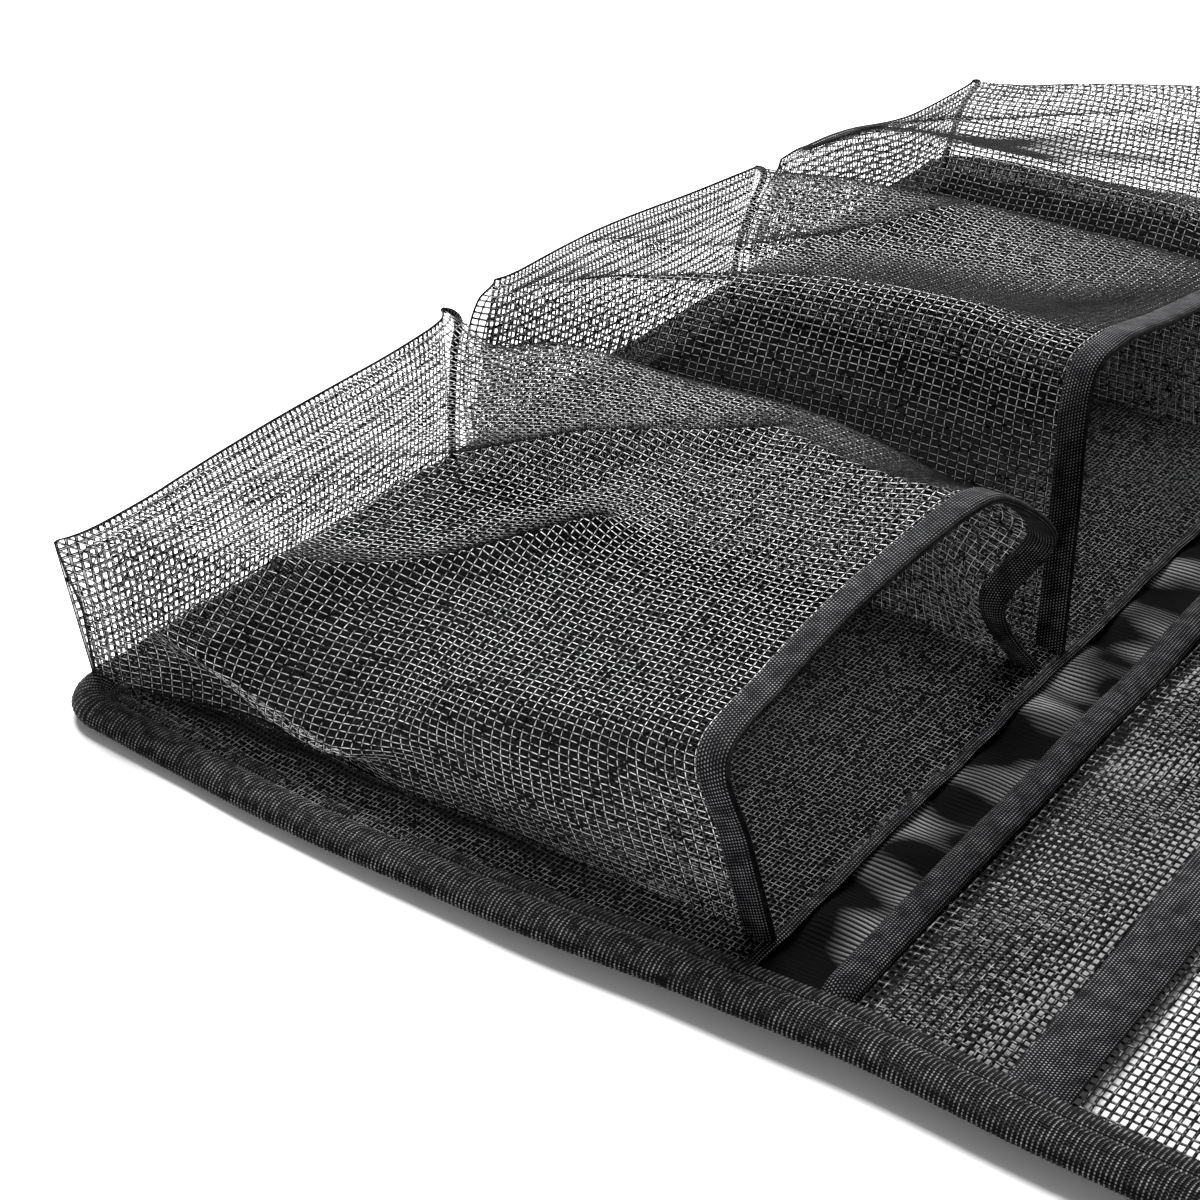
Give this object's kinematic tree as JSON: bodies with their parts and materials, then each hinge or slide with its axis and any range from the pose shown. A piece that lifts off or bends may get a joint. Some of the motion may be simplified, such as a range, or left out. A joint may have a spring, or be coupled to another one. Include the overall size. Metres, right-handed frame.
{
  "type": "shoe organizer",
  "caption": "Black hanging organizer: boxy mesh pockets with taped mouths in rows on a bound mesh panel, flat pockets between rows, header with eyelets and over-door hooks.",
  "frame": {"origin": "centre of the header's back face", "axes": "+Z out of the organizer's front, +Y up it towards the header's top edge, +X to the right seen from the front"},
  "size_m": [0.48, 1.4623, 0.1309],
  "materials": {
    "netting": "black woven polyester netting, slightly shiny threads",
    "backing_cloth": "black fine-ribbed opaque cloth",
    "ribbed_tape": "black cross-ribbed binding tape",
    "header_cloth": "black heavy plain-weave cloth, stitched",
    "eyelet_metal": "gunmetal enamel",
    "hook_steel": "brushed, bright"
  },
  "bodies": {
    "upper_section": {"header_panel": "header_cloth", "upper_mesh_panel": "netting", "upper_left_binding": "ribbed_tape", "upper_right_binding": "ribbed_tape", "eyelet_left": "eyelet_metal", "eyelet_middle": "eyelet_metal", "eyelet_right": "eyelet_metal", "row1_backing": "backing_cloth", "row1_flat_pocket": "netting", "row1_backing_tape": "ribbed_tape", "row1_flat_pocket_tape": "ribbed_tape", "row1_pocket_left": "netting", "row1_pocket_lip_left": "ribbed_tape", "row1_pocket_middle": "netting", "row1_pocket_lip_middle": "ribbed_tape", "row1_pocket_right": "netting", "row1_pocket_lip_right": "ribbed_tape", "row2_backing": "backing_cloth", "row2_flat_pocket": "netting", "row2_backing_tape": "ribbed_tape", "row2_flat_pocket_tape": "ribbed_tape", "row2_pocket_left": "netting", "row2_pocket_lip_left": "ribbed_tape", "row2_pocket_middle": "netting", "row2_pocket_lip_middle": "ribbed_tape", "row2_pocket_right": "netting", "row2_pocket_lip_right": "ribbed_tape"},
    "lower_section": {"lower_mesh_panel": "netting", "bottom_binding": "ribbed_tape", "lower_left_binding": "ribbed_tape", "lower_right_binding": "ribbed_tape", "row3_backing": "backing_cloth", "row3_flat_pocket": "netting", "row3_backing_tape": "ribbed_tape", "row3_flat_pocket_tape": "ribbed_tape", "row3_pocket_left": "netting", "row3_pocket_lip_left": "ribbed_tape", "row3_pocket_middle": "netting", "row3_pocket_lip_middle": "ribbed_tape", "row3_pocket_right": "netting", "row3_pocket_lip_right": "ribbed_tape", "row4_backing": "backing_cloth", "row4_flat_pocket": "netting", "row4_backing_tape": "ribbed_tape", "row4_flat_pocket_tape": "ribbed_tape", "row4_pocket_left": "netting", "row4_pocket_lip_left": "ribbed_tape", "row4_pocket_middle": "netting", "row4_pocket_lip_middle": "ribbed_tape", "row4_pocket_right": "netting", "row4_pocket_lip_right": "ribbed_tape"},
    "hook_left": {"door_hook_left": "hook_steel"},
    "hook_middle": {"door_hook_middle": "hook_steel"},
    "hook_right": {"door_hook_right": "hook_steel"}
  },
  "joints": [
    {"name": "fold", "type": "hinge", "parent": "upper_section", "child": "lower_section", "pos_m": [0, -0.728, 0.0056], "axis": [-1, 0, 0], "range_deg": [0, 105]},
    {"name": "hook_left_swing", "type": "hinge", "parent": "upper_section", "child": "hook_left", "pos_m": [-0.19, 0.0275, 0.0022], "axis": [1, 0, 0], "range_deg": [-35, 35]},
    {"name": "hook_middle_swing", "type": "hinge", "parent": "upper_section", "child": "hook_middle", "pos_m": [0, 0.0275, 0.0022], "axis": [1, 0, 0], "range_deg": [-35, 35]},
    {"name": "hook_right_swing", "type": "hinge", "parent": "upper_section", "child": "hook_right", "pos_m": [0.19, 0.0275, 0.0022], "axis": [1, 0, 0], "range_deg": [-35, 35]}
  ]
}
